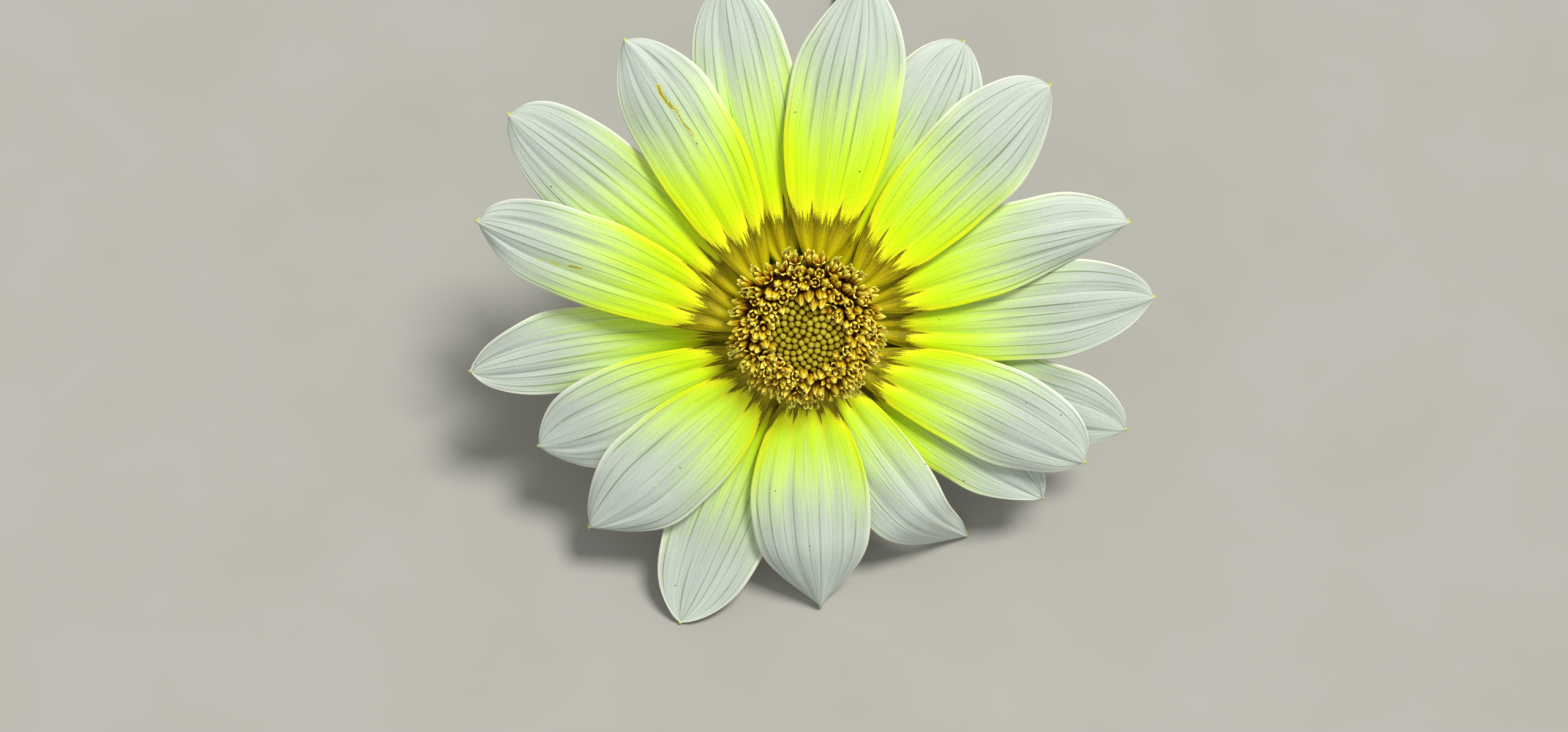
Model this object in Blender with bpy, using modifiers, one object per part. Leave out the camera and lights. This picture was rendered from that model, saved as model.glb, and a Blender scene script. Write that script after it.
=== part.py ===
"""One gazania as picked: a flower head on its leafless scape, lying on a level surface.

The bloom leans forward and rests on the tips of three lower ray florets. Behind it the
scape bends down and lies along the surface. Lengths in the tables are in millimetres.
"""
import math
from collections import namedtuple

import bmesh
import bpy
from mathutils import Matrix, Vector

MM = 0.001

# The bloom has its own frame: its centre on the receptacle, +Z out of the disc, and +Y
# towards the florets that stand highest. The tilt is that of its axis from upright.
BLOOM_CENTRE = Vector((-0.6, -21.1, 32.7)) * MM
BLOOM_TILT = math.radians(40)

# Ray florets: strap-shaped petals in overlapping rows round the receptacle's rim.
ROOT_RADIUS = 8.8
ROOT_LEVEL = -0.3
ROW_DROP = 1.3
BLADE_THICKNESS = 0.6
BLADE_LENGTH_STEPS = 12
BLADE_WIDTH_STEPS = 4
TIP_HALF_WIDTH = 0.35
WIDEST_AT = 0.6
CLAW_SHARE = 0.15
BLOOM_SAG = 0.0021

# row: how many layers below the topmost. root, tip: azimuths in degrees, from +X towards +Y.
# reach: the tip's distance from the axis. half: half the greatest width. arch: rise of the
# midline over the edges. droop: how far the tip hangs. bow: the midline's sideways swing.
Ray = namedtuple("Ray", "row root tip reach half arch droop bow")
RAYS = [
    Ray(1, 108, 103, 46.0, 6.6, 0.5, 0.6, 0.4),
    Ray(0, 80, 81, 45.5, 7.4, 1.0, 0.8, 0.0),
    Ray(1, 58, 61, 42.0, 6.8, 0.5, 1.5, 0.0),
    Ray(0, 38, 45, 44.5, 6.9, 1.0, 0.8, 0.8),
    Ray(1, 16, 16, 45.0, 5.9, 0.8, 1.0, 2.1),
    Ray(2, -8, 3, 47.5, 7.0, 0.4, 0.4, 0.0),
    Ray(3, -25, -21, 48.5, 6.6, 0.3, 0.2, -0.5),
    Ray(1, -42, -29, 44.5, 6.8, 1.0, 0.0, 1.5),
    Ray(2, -58, -40, 44.0, 5.7, 0.2, 1.2, 1.8),
    Ray(1, -73, -57, 43.4, 5.6, 0.8, 8.1, -2.5),
    Ray(0, -89, -87, 44.4, 7.9, 1.4, 2.9, -0.5),
    Ray(1, -111, -111, 49.7, 7.3, 0.3, -1.2, 0.0),
    Ray(0, -126, -134, 43.5, 7.3, 1.0, 1.2, 0.3),
    Ray(1, -142, -152, 42.0, 7.1, 0.5, 1.6, 0.0),
    Ray(2, -161, -169, 47.0, 5.9, 0.3, 0.2, -1.6),
    Ray(0, -180, -197, 45.5, 6.1, 1.0, 0.6, -0.8),
    Ray(1, 162, 145, 47.5, 6.8, 0.5, 0.3, 0.0),
    Ray(0, 135, 122, 44.0, 6.1, 1.0, 0.8, -1.7),
]
TOUCHING_RAYS = (10, 11, 12)

# Involucre: the green cup of joined bracts, with the receptacle as its top.
CUP_RADIUS = 8.45
CUP_TOP = 0.9
CUP_FOOT = -13.2
CUP_PROFILE = [
    (0.0, CUP_TOP),
    (8.0, CUP_TOP),
    (CUP_RADIUS, 0.5),
    (CUP_RADIUS, -5.0),
    (8.1, -6.6),
    (6.9, -8.8),
    (4.9, -11.2),
    (2.9, -12.7),
    (2.4, CUP_FOOT),
    (0.0, CUP_FOOT),
]
BRACT_COUNT = 14
BRACT_LENGTH = 8.4
BRACT_HALF_WIDTH = 2.5
BRACT_FLATNESS = 0.24
BRACT_LEVEL = -6.5
BRACT_ROOT_RADIUS = 6.4

# Disc: closed buds on a low dome in the middle, open florets on a ring round it.
CLEARANCE = 0.3
BUD_ZONE_RADIUS = 5.3
DOME_SHOULDER = 3.4
DOME_TOP = 4.2
BUD_COUNT = 140
BUD_RADIUS = 0.39
BUD_HEIGHT = 1.1
BUD_SUNK = 0.35
GOLDEN_ANGLE = math.pi * (3 - math.sqrt(5))
RING_INNER = BUD_ZONE_RADIUS + CLEARANCE
RING_OUTER = 8.35
RING_TOP = 2.7
FLORET_SEGMENTS = 10
FLORET_HEIGHT = 2.9
FLORET_FOOT_RADIUS = 0.42
FLORET_LOBE_RADIUS = 1.0
FLORET_NOTCH_RADIUS = 0.55
FLORET_NOTCH_DROP = 0.55
FLORET_COLUMN_RISE = 0.8
FLORET_SUNK = 0.9
# Each ring of open florets: how many, the radius at their feet, and how far they lean out.
FLORET_RINGS = [(16, 6.35, 14), (19, 7.15, 33), (23, 7.75, 55)]

# Scape: the bare flower stalk, cut below, in one even bend down to the surface.
SCAPE_RADIUS = 1.7
SCAPE_START = CUP_FOOT - CLEARANCE
SCAPE_BEND = math.pi / 2 - BLOOM_TILT
SCAPE_LYING = 22.0
SCAPE_DRIFT = 9.0
SCAPE_BEND_STEPS = 14
SCAPE_LYING_STEPS = 6


def srgb(code):
    """Return the linear colour of a web colour such as "#8a7a10"."""
    values = [int(code[i:i + 2], 16) / 255 for i in (1, 3, 5)]
    return [v / 12.92 if v <= 0.04045 else ((v + 0.055) / 1.055) ** 2.4 for v in values] + [1.0]


def plain_material(name, code, roughness):
    """Make a Principled material of one colour."""
    material = bpy.data.materials.new(name)
    material.use_nodes = True
    shader = material.node_tree.nodes["Principled BSDF"]
    shader.inputs["Base Color"].default_value = srgb(code)
    shader.inputs["Roughness"].default_value = roughness
    shader.inputs["Metallic"].default_value = 0.0
    return material


def smooth(value, start, end):
    """Rise evenly from 0 at start to 1 at end."""
    share = min(max((value - start) / (end - start), 0.0), 1.0)
    return share * share * (3 - 2 * share)


def polar(radius, azimuth):
    """Return the point at this radius and azimuth, in the bloom's plane."""
    return Vector((radius * math.cos(azimuth), radius * math.sin(azimuth), 0.0))


def blade_half_width(ray, along):
    """Half the blade's width: a narrow claw, widest past the middle, and a small blunt point."""
    if along < WIDEST_AT:
        swell = math.sin(math.pi / 2 * along / WIDEST_AT) ** 1.1
        share = CLAW_SHARE + (1 - CLAW_SHARE) * swell
    else:
        share = (1 - ((along - WIDEST_AT) / (1 - WIDEST_AT)) ** 2.2) ** 0.85
    return TIP_HALF_WIDTH + (ray.half - TIP_HALF_WIDTH) * share


def blade_point(ray, along, across):
    """Return a point of the blade's middle surface: along is 0 to 1, across is -1 to 1."""
    root = polar(ROOT_RADIUS, math.radians(ray.root))
    tip = polar(ray.reach, math.radians(ray.tip))
    direction = (tip - root).normalized()
    side = Vector((-direction.y, direction.x, 0.0))
    swing = ray.bow * math.sin(math.pi * along) + across * blade_half_width(ray, along)
    point = root.lerp(tip, along) + side * swing
    sag = BLOOM_SAG * (point.length - ROOT_RADIUS) ** 2
    arch = ray.arch * smooth(along, 0.25, 0.75) * (1 - across * across)
    hang = ray.droop * smooth(along, 0.65, 1.15) / smooth(1.0, 0.65, 1.15)
    point.z = ROOT_LEVEL - ROW_DROP * ray.row - sag + arch - hang
    return point * MM


def new_object(name, mesh, collection, parent, material):
    """Link a mesh as an object with its material."""
    thing = bpy.data.objects.new(name, mesh)
    collection.objects.link(thing)
    thing.parent = parent
    if material:
        mesh.materials.append(material)
    return thing


def mesh_from(bm, name):
    """Write a bmesh to a new mesh and free it."""
    mesh = bpy.data.meshes.new(name)
    bm.to_mesh(mesh)
    bm.free()
    return mesh


def finish_round(mesh):
    """Shade a mesh smooth but for its sharper edges."""
    mesh.shade_smooth()
    mesh.set_sharp_from_angle(angle=math.radians(40))


def make_ray_floret(name, ray, collection, parent, material):
    """Bend a flat grid to the blade's form and give it its thickness."""
    bm = bmesh.new()
    bmesh.ops.create_grid(bm, x_segments=BLADE_LENGTH_STEPS, y_segments=BLADE_WIDTH_STEPS, size=1)
    for vert in bm.verts:
        share = (vert.co.x + 1) / 2
        along = share * (1.25 - 0.25 * share)
        vert.co = blade_point(ray, along, vert.co.y)
    bmesh.ops.triangulate(bm, faces=bm.faces)
    mesh = mesh_from(bm, name)
    mesh.shade_smooth()
    blade = new_object(name, mesh, collection, parent, material)
    solidify = blade.modifiers.new("thickness", "SOLIDIFY")
    solidify.thickness = BLADE_THICKNESS * MM
    solidify.offset = 0
    return blade


def turned_mesh(name, profile):
    """Make the profile's edges, in millimetres, for a Screw modifier to turn."""
    bm = bmesh.new()
    verts = [bm.verts.new((radius * MM, 0, level * MM)) for radius, level in profile]
    for upper, lower in zip(verts, verts[1:]):
        bm.edges.new((upper, lower))
    if profile[0][0] > 0:
        bm.edges.new((verts[-1], verts[0]))
    return mesh_from(bm, name)


def add_screw(thing, steps):
    """Turn the object's profile all the way round its own axis."""
    screw = thing.modifiers.new("turn", "SCREW")
    screw.steps = steps
    screw.render_steps = steps
    screw.use_merge_vertices = True
    screw.merge_threshold = 0.0001
    screw.use_smooth_shade = True


def add_boolean(thing, operation, other, overlapping=False):
    """Join or cut the object with a helper, which isn't part of the flower."""
    other.hide_render = True
    other.display_type = "WIRE"
    boolean = thing.modifiers.new(operation.lower(), "BOOLEAN")
    boolean.operation = operation
    boolean.object = other
    boolean.solver = "EXACT"
    boolean.use_self = overlapping


def make_bracts(helpers, parent):
    """Make the ring of free bract tips that spread under the ray florets."""
    bm = bmesh.new()
    for index in range(BRACT_COUNT):
        azimuth = 2 * math.pi * (index + 0.5) / BRACT_COUNT
        middle = polar(BRACT_ROOT_RADIUS + BRACT_LENGTH / 2, azimuth)
        middle.z = BRACT_LEVEL
        place = (Matrix.Translation(middle * MM)
                 @ Matrix.Rotation(azimuth, 4, "Z")
                 @ Matrix.Rotation(math.pi / 2, 4, "Y")
                 @ Matrix.Diagonal((BRACT_FLATNESS, 1, 1, 1)))
        bmesh.ops.create_cone(bm, cap_ends=True, segments=8, radius1=BRACT_HALF_WIDTH * MM,
                              radius2=0.2 * MM, depth=BRACT_LENGTH * MM, matrix=place)
    return new_object("bract_tips", mesh_from(bm, "bract_tips"), helpers, parent, None)


def make_involucre(collection, helpers, parent, material):
    """Turn the cup and join the bract tips to it."""
    cup = new_object("involucre", turned_mesh("involucre", CUP_PROFILE), collection, parent, material)
    add_screw(cup, 28)
    add_boolean(cup, "UNION", make_bracts(helpers, parent), overlapping=True)


def bud_place(index):
    """Return the place of a bud in the sunflower spiral on the dome."""
    share = math.sqrt((index + 0.5) / BUD_COUNT)
    radius = share * (BUD_ZONE_RADIUS - BUD_RADIUS)
    foot = polar(radius, index * GOLDEN_ANGLE)
    foot.z = DOME_TOP - (DOME_TOP - DOME_SHOULDER) * share ** 2.6
    lean = math.radians(26) * share ** 2
    outward = Vector((-foot.y, foot.x, 0.0))
    middle = foot + Vector((0, 0, BUD_HEIGHT / 2 - BUD_SUNK))
    return Matrix.Translation(middle * MM) @ Matrix.Rotation(lean, 4, outward)


def make_disc_buds(collection, helpers, parent, material):
    """Make the domed middle of the disc with its closed buds."""
    foot = CUP_TOP + CLEARANCE
    rim = BUD_ZONE_RADIUS
    profile = [(0.0, DOME_TOP)]
    for share in (0.3, 0.55, 0.78, 0.94):
        profile.append((rim * share, DOME_TOP - (DOME_TOP - DOME_SHOULDER) * share ** 2.6))
    profile += [(rim, DOME_SHOULDER - 0.3), (rim, foot), (0.0, foot)]
    dome = new_object("disc_buds", turned_mesh("disc_buds", profile), collection, parent, material)
    add_screw(dome, 24)
    bm = bmesh.new()
    for index in range(BUD_COUNT):
        bmesh.ops.create_cone(bm, cap_ends=True, segments=5, radius1=BUD_RADIUS * MM,
                              radius2=0, depth=BUD_HEIGHT * MM, matrix=bud_place(index))
    buds = new_object("bud_points", mesh_from(bm, "bud_points"), helpers, parent, None)
    add_boolean(dome, "UNION", buds)


def add_open_floret(bm, place):
    """Add one open floret: a flaring tube, a crown of five lobes and the anther column."""
    made = bmesh.ops.create_cone(bm, cap_ends=True, segments=FLORET_SEGMENTS,
                                 radius1=FLORET_FOOT_RADIUS * MM, radius2=FLORET_LOBE_RADIUS * MM,
                                 depth=FLORET_HEIGHT * MM)
    verts = made["verts"]
    rim = sorted((v for v in verts if v.co.z > 0), key=lambda v: math.atan2(v.co.y, v.co.x))
    for notch in rim[1::2]:
        shrink = FLORET_NOTCH_RADIUS / FLORET_LOBE_RADIUS
        notch.co.x *= shrink
        notch.co.y *= shrink
        notch.co.z -= FLORET_NOTCH_DROP * MM
    crown = next(face for face in rim[0].link_faces if len(face.verts) == FLORET_SEGMENTS)
    column = bmesh.ops.poke(bm, faces=[crown])["verts"][0]
    column.co = Vector((0, 0, (FLORET_HEIGHT / 2 + FLORET_COLUMN_RISE) * MM))
    bmesh.ops.transform(bm, matrix=place, verts=verts + [column])


def make_disc_florets(collection, helpers, parent, material):
    """Make the ring round the buds with its open florets, which lean out over the claws."""
    foot = CUP_TOP + CLEARANCE
    profile = [(RING_INNER, RING_TOP), (RING_OUTER - 0.5, RING_TOP), (RING_OUTER, RING_TOP - 0.5),
               (RING_OUTER, foot), (RING_INNER, foot)]
    ring = new_object("disc_florets", turned_mesh("disc_florets", profile), collection, parent, material)
    add_screw(ring, 30)
    bm = bmesh.new()
    for row, (count, radius, lean_degrees) in enumerate(FLORET_RINGS):
        for index in range(count):
            azimuth = 2 * math.pi * (index + 0.5 * (row % 2)) / count
            base = polar(radius, azimuth)
            base.z = RING_TOP - FLORET_SUNK
            place = (Matrix.Translation(base * MM)
                     @ Matrix.Rotation(azimuth, 4, "Z")
                     @ Matrix.Rotation(math.radians(lean_degrees), 4, "Y")
                     @ Matrix.Translation((0, 0, FLORET_HEIGHT / 2 * MM)))
            add_open_floret(bm, place)
    crowns = new_object("open_florets", mesh_from(bm, "open_florets"), helpers, parent, None)
    add_boolean(ring, "UNION", crowns, overlapping=True)


def scape_points():
    """Return the stalk's midline in world space: an even bend, then a stretch that lies flat."""
    axis = Vector((0, -math.sin(BLOOM_TILT), math.cos(BLOOM_TILT)))
    start = BLOOM_CENTRE + axis * SCAPE_START * MM
    drop = start.z - SCAPE_RADIUS * MM
    bend_radius = drop / (1 - math.cos(SCAPE_BEND))
    points = []
    for step in range(SCAPE_BEND_STEPS + 1):
        slope = SCAPE_BEND * (1 - step / SCAPE_BEND_STEPS)
        along = bend_radius * (math.sin(SCAPE_BEND) - math.sin(slope))
        height = SCAPE_RADIUS * MM + bend_radius * (1 - math.cos(slope))
        points.append(Vector((start.x, start.y + along, height)))
    landing = points[-1]
    for step in range(1, SCAPE_LYING_STEPS + 1):
        points.append(landing + Vector((0, SCAPE_LYING * step / SCAPE_LYING_STEPS, 0)) * MM)
    run = points[-1].y - start.y
    for point in points:
        point.x += SCAPE_DRIFT * MM * smooth((point.y - start.y) / run, 0.05, 1.25)
    return points


def make_scape(collection, material):
    """Lay a round stalk with flat cut ends along its midline."""
    curve = bpy.data.curves.new("scape", "CURVE")
    curve.dimensions = "3D"
    points = scape_points()
    spline = curve.splines.new("POLY")
    spline.points.add(len(points) - 1)
    for target, point in zip(spline.points, points):
        target.co = (*point, 1)
    curve.bevel_depth = SCAPE_RADIUS * MM
    curve.bevel_resolution = 3
    curve.use_fill_caps = True
    curve.materials.append(material)
    collection.objects.link(bpy.data.objects.new("scape", curve))


def make_surface_cutter(helpers):
    """Make the block below the surface, which trims what would sink into it."""
    bm = bmesh.new()
    side = 200 * MM
    bmesh.ops.create_cube(bm, size=side, matrix=Matrix.Translation((0, 0, -side / 2)))
    return new_object("surface_cutter", mesh_from(bm, "surface_cutter"), helpers, None, None)


def new_collection(name):
    """Add a collection to the scene."""
    collection = bpy.data.collections.new(name)
    bpy.context.scene.collection.children.link(collection)
    return collection


def main():
    for old in list(bpy.data.objects):
        bpy.data.objects.remove(old)
    flower = new_collection("gazania")
    helpers = new_collection("helpers")
    bloom = bpy.data.objects.new("bloom_frame", None)
    bloom.location = BLOOM_CENTRE
    bloom.rotation_euler = (BLOOM_TILT, 0, 0)
    flower.objects.link(bloom)

    petal = plain_material("petal", "#dcd8dc", 0.55)
    bud = plain_material("disc_bud", "#9a9030", 0.6)
    floret = plain_material("disc_floret", "#c79a3a", 0.6)
    green = plain_material("green_bract", "#5f7a3c", 0.6)
    stalk = plain_material("green_stalk", "#6f8a48", 0.55)

    cutter = make_surface_cutter(helpers)
    for number, ray in enumerate(RAYS, start=1):
        blade = make_ray_floret(f"ray_floret_{number:02d}", ray, flower, bloom, petal)
        if number in TOUCHING_RAYS:
            add_boolean(blade, "DIFFERENCE", cutter)
    make_involucre(flower, helpers, bloom, green)
    make_disc_buds(flower, helpers, bloom, bud)
    make_disc_florets(flower, helpers, bloom, floret)
    make_scape(flower, stalk)


main()
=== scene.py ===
"""Looks of the picked gazania: its petals, disc, cup and stalk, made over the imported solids."""
import math
import random
from collections import namedtuple
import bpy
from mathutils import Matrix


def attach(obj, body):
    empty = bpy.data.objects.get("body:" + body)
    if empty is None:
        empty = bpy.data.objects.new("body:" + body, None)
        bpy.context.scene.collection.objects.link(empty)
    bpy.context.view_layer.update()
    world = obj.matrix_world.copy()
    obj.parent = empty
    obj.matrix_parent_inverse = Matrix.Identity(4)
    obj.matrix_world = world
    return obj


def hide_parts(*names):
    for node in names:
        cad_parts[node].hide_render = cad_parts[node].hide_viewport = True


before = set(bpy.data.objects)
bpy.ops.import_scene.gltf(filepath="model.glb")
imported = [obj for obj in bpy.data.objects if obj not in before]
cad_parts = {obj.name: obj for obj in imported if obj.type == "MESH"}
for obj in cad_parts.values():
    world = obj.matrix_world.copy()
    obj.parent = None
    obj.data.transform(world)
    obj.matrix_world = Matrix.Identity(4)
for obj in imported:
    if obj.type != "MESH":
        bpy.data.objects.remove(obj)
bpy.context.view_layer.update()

from types import SimpleNamespace

import bmesh
import bpy
from mathutils import Matrix, Vector, noise

MM = 0.001

# The bloom's own frame: its centre on the receptacle, +Z out of the disc, +Y to the highest petals.
BLOOM_CENTRE = Vector((-0.6, -21.1, 32.7)) * MM
BLOOM_TILT = math.radians(40)
BLOOM = Matrix.Translation(BLOOM_CENTRE) @ Matrix.Rotation(BLOOM_TILT, 4, "X")

# Petals, in millimetres and degrees. row: how many layers below the topmost. root, tip: azimuths.
# reach: the tip's distance from the axis. half: half the greatest width. arch: rise of the midline
# over the edges. droop: how far the tip hangs. bow: the midline's sideways swing. The rest are the
# scene's own: fold lifts the edges towards the tip, curl rolls the very tip down, wave is the swing
# of the margins, heart is how much further out the yellow runs, blunt is how broad the end is, and
# skew makes it broader still on the side of the greater azimuth.
Petal = namedtuple("Petal", "row root tip reach half arch droop bow fold curl wave heart blunt skew")
PETALS = [
    Petal(1, 108, 103, 46.0, 6.6, 0.5, 0.6, 0.4, 0.2, 0.0, 0.25, 0.02, 0.5, 0.0),
    Petal(0, 80, 81, 45.5, 7.25, 1.0, 0.8, 0.0, 0.0, 0.0, 0.30, 0.00, 0.3, -0.4),
    Petal(1, 58, 61, 42.0, 6.8, 0.5, 1.5, 0.0, 0.2, 0.3, 0.30, 0.00, 0.7, 0.1),
    Petal(0, 38, 45, 44.5, 6.9, 1.0, 0.8, 0.8, 0.3, 0.0, 0.35, -0.04, 0.5, 0.4),
    Petal(1, 16, 16, 45.0, 5.9, 0.8, 1.0, 2.1, -0.6, 0.9, 0.30, -0.08, 0.2, 0.7),
    Petal(2, -8, 2, 47.5, 7.0, 0.4, 0.4, 0.0, 0.2, 0.2, 0.30, -0.09, 0.4, 0.3),
    Petal(3, -25, -22, 48.5, 6.6, 0.3, 0.2, -0.5, 0.4, 0.0, 0.30, -0.08, 0.4, 0.4),
    Petal(1, -42, -29, 44.5, 6.8, 1.0, 0.0, 1.5, 0.3, 0.3, 0.25, -0.11, 0.5, 0.5),
    Petal(2, -58, -40, 44.0, 6.0, 0.2, 1.2, 1.2, 0.2, 0.0, 0.30, 0.00, 0.2, 0.4),
    Petal(1, -73, -57, 43.4, 6.1, 0.8, 8.1, -2.3, -0.3, 0.0, 0.20, -0.19, 0.0, -0.5),
    Petal(0, -89, -87, 44.4, 8.3, 1.4, 2.9, -0.5, -0.6, 0.0, 0.20, -0.18, -0.2, 0.0),
    Petal(1, -111, -111, 49.7, 7.3, 0.3, -1.2, 0.0, 0.4, 0.0, 0.30, -0.08, 0.3, 0.0),
    Petal(0, -126, -134, 43.5, 7.5, 1.0, 1.2, 0.3, 0.0, 0.2, 0.25, -0.16, 0.0, 0.1),
    Petal(1, -142, -152, 42.0, 7.1, 0.5, 1.6, 0.0, 0.2, 0.2, 0.30, -0.07, 0.2, 0.0),
    Petal(2, -161, -169, 47.0, 5.9, 0.3, 0.2, -1.6, 0.3, 0.0, 0.30, -0.05, 0.4, 0.0),
    Petal(0, -180, -197, 45.5, 6.1, 1.0, 0.6, -0.8, 0.2, 0.0, 0.35, 0.00, 0.6, -0.4),
    Petal(1, 162, 145, 47.5, 6.8, 0.5, 0.3, -0.4, 0.3, 0.0, 0.30, 0.00, 0.7, -0.4),
    Petal(0, 135, 122, 44.0, 6.3, 1.0, 0.8, -1.1, 0.2, 0.0, 0.30, 0.02, 0.5, -0.35),
]
# What all petals share, in millimetres or as shares of their length and width. The steps of their
# grid crowd towards the tip, where the outline turns fastest.
PETAL_ROOT_RADIUS = 8.5
PETAL_ROOT_LEVEL = -0.3
PETAL_ROW_DROP = 1.3
PETAL_SAG = 0.0021
PETAL_TIP_HALF_WIDTH = 0.24
PETAL_WIDEST_AT = 0.6
PETAL_POINT_AT = 0.985
PETAL_CLAW_SHARE = 0.14
PETAL_CLAW_FLARE = 0.76
PETAL_THICKNESS = 0.34
PETAL_STEPS = (80, 64)
PETAL_CROWDING = 0.5
PETAL_VEINS = 10
VEIN_DEPTH = 0.018
GROOVE_PLACE = 0.36
GROOVE_WIDTH = 0.11
GROOVE_DEPTH = 0.17
BAND_HEIGHT = 0.15
LUMP_HEIGHT = 0.22

# How far the dark claw reaches along the petal, by distance from the midline (0) to the margin (1):
# least in the middle, a narrow tooth up each groove, and most along the margins.
CLAW_REACH = [(0.0, 0.150), (0.2, 0.160), (0.3, 0.175), (0.37, 0.215), (0.44, 0.175), (0.56, 0.160),
              (0.72, 0.165), (0.88, 0.19), (1.0, 0.24)]

# Where the claw ends in the petal material's ramps.
CLAW_END = 0.25

# Scars on the upper faces: petal, first and last place along it, place across it (-1 to 1), width.
SCARS = [(18, 0.70, 0.81, -0.06, 0.06), (18, 0.58, 0.71, -0.12, 0.035), (16, 0.66, 0.71, 0.30, 0.05),
         (16, 0.59, 0.65, 0.22, 0.04), (16, 0.73, 0.76, 0.36, 0.04)]

# Disc.
DOME_TOP = 4.2
DOME_SHOULDER = 3.4
BUD_ZONE_RADIUS = 5.3
BUD_COUNT = 118
BUD_RADIUS = 0.47
BUD_EDGE_LEAN = 20
GOLDEN_ANGLE = math.pi * (3 - math.sqrt(5))
FLORET_COUNT = 185
FLORET_FOOT_RADII = (5.35, 8.3)
FLORET_FOOT_LEVELS = (2.5, 1.2)
FLORET_LEANS = (-12, 68)

# The ring of feet under the petals as (radius, level) rings, and its ribs. Their depth is a share
# of the ring's radius.
FEET_PROFILE = [(8.3, -4.6), (8.55, -4.2), (8.6, -2.5), (8.6, -0.5), (8.6, 0.6), (8.35, 1.1), (7.9, 1.3)]
FEET_COUNT = 42
FEET_RIB_DEPTH = 0.04

# Cup and stalk.
CUP_FOOT = -13.2
BRACT_COUNT = 14
STALK_RADIUS = 1.7
STALK_BEND = math.pi / 2 - BLOOM_TILT
STALK_LYING = 22.0
STALK_DRIFT = 9.0
STALK_STEPS = 40
STALK_LYING_STEPS = 16
STALK_HAIRS = 320
STALK_HAIR_LENGTH = 0.9

random.seed(7)


# Small tools.

def srgb(code):
    """Return the linear colour of a web colour such as "#8a7a10"."""
    values = [int(code[i:i + 2], 16) / 255 for i in (1, 3, 5)]
    return [v / 12.92 if v <= 0.04045 else ((v + 0.055) / 1.055) ** 2.4 for v in values] + [1.0]


def smooth(value, start, end):
    """Rise evenly from 0 at start to 1 at end."""
    share = min(max((value - start) / (end - start), 0.0), 1.0)
    return share * share * (3 - 2 * share)


def mix(low, high, share):
    """Return the value that lies this share of the way from low to high."""
    return low + (high - low) * share


def polar(radius, azimuth, level=0.0):
    """Return the point at this radius, azimuth and level, in the bloom's frame."""
    return Vector((radius * math.cos(azimuth), radius * math.sin(azimuth), level))


def deselect():
    """Leave nothing selected, so that an operator acts on the new piece alone."""
    bpy.ops.object.select_all(action="DESELECT")


def name_piece(name):
    """Name the active object and its mesh."""
    piece = bpy.context.object
    piece.name = name
    piece.data.name = name
    return piece


def select_edges(piece, wanted):
    """Select only the edges that the test wants, in edit mode."""
    bpy.ops.mesh.select_all(action="DESELECT")
    mesh = bmesh.from_edit_mesh(piece.data)
    mesh.select_mode = {"EDGE"}
    for edge in mesh.edges:
        if wanted(edge):
            edge.select = True
    mesh.select_flush_mode()
    bmesh.update_edit_mesh(piece.data)


def apply_modifiers(piece):
    """Apply all modifiers of the piece in turn."""
    deselect()
    piece.select_set(True)
    bpy.context.view_layer.objects.active = piece
    for modifier in list(piece.modifiers):
        bpy.ops.object.modifier_apply(modifier=modifier.name)


def add_thickness(piece, thickness, back_slot=0):
    """Give a sheet its thickness in millimetres, to both sides alike."""
    solidify = piece.modifiers.new("thickness", "SOLIDIFY")
    solidify.thickness = thickness * MM
    solidify.offset = 0
    solidify.material_offset = back_slot
    apply_modifiers(piece)


def fill_attribute(piece, name, values):
    """Store one number for each of the mesh's points."""
    marks = piece.data.attributes.new(name, "FLOAT", "POINT")
    for mark, value in zip(marks.data, values):
        mark.value = value


def extrude_rings(profile):
    """Extrude the selected ring through a profile of (radius, level) rings, in edit mode."""
    for (radius, level), (next_radius, next_level) in zip(profile, profile[1:]):
        rise = (next_level - level) * MM
        bpy.ops.mesh.extrude_region_move(TRANSFORM_OT_translate={"value": (0, 0, rise)})
        scale = next_radius / radius
        bpy.ops.transform.resize(value=(scale, scale, 1), center_override=(0, 0, next_level * MM))


def start_ring(name, radius, level, sides):
    """Add a ring of edges at this level, in edit mode and selected."""
    deselect()
    bpy.ops.mesh.primitive_circle_add(vertices=sides, radius=radius * MM, location=(0, 0, level * MM))
    bpy.ops.object.transform_apply(location=True)
    piece = name_piece(name)
    bpy.ops.object.mode_set(mode="EDIT")
    bpy.ops.mesh.select_all(action="SELECT")
    return piece


def turn_profile(name, profile, sides):
    """Model a turned form, closed at both ends, by extruding a ring through its profile."""
    piece = start_ring(name, *profile[0], sides)
    extrude_rings(profile)
    bpy.ops.mesh.select_all(action="SELECT")
    bpy.ops.mesh.fill_holes(sides=0)
    bpy.ops.mesh.normals_make_consistent(inside=False)
    bpy.ops.object.mode_set(mode="OBJECT")
    return piece


def map_length(piece, low, high, rim=None):
    """Give a pattern a map whose Y runs from its foot to its tips.

    low and high are lengths in millimetres: the height, and past a rim's radius the way outwards.
    """
    layer = piece.data.uv_layers.active or piece.data.uv_layers.new(name="UVMap")
    for loop in piece.data.loops:
        point = piece.data.vertices[loop.vertex_index].co / MM
        length = point.z
        if rim is not None:
            length += max(point.xy.length - rim, 0)
        share = (length - low) / (high - low)
        layer.data[loop.index].uv = (math.atan2(point.y, point.x) / (2 * math.pi) + 0.5, share)


def join_copies(pattern, places, name):
    """Copy a pattern to each place, each with its own tone, and join the copies as one piece."""
    deselect()
    for place in places:
        copy = pattern.copy()
        copy.data = pattern.data.copy()
        fill_attribute(copy, "tone", [random.random()] * len(copy.data.vertices))
        bpy.context.collection.objects.link(copy)
        copy.matrix_world = place
        copy.select_set(True)
    bpy.context.view_layer.objects.active = copy
    bpy.ops.object.join()
    piece = name_piece(name)
    bpy.ops.object.transform_apply(location=True, rotation=True, scale=True)
    bpy.data.objects.remove(pattern)
    return piece


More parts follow.
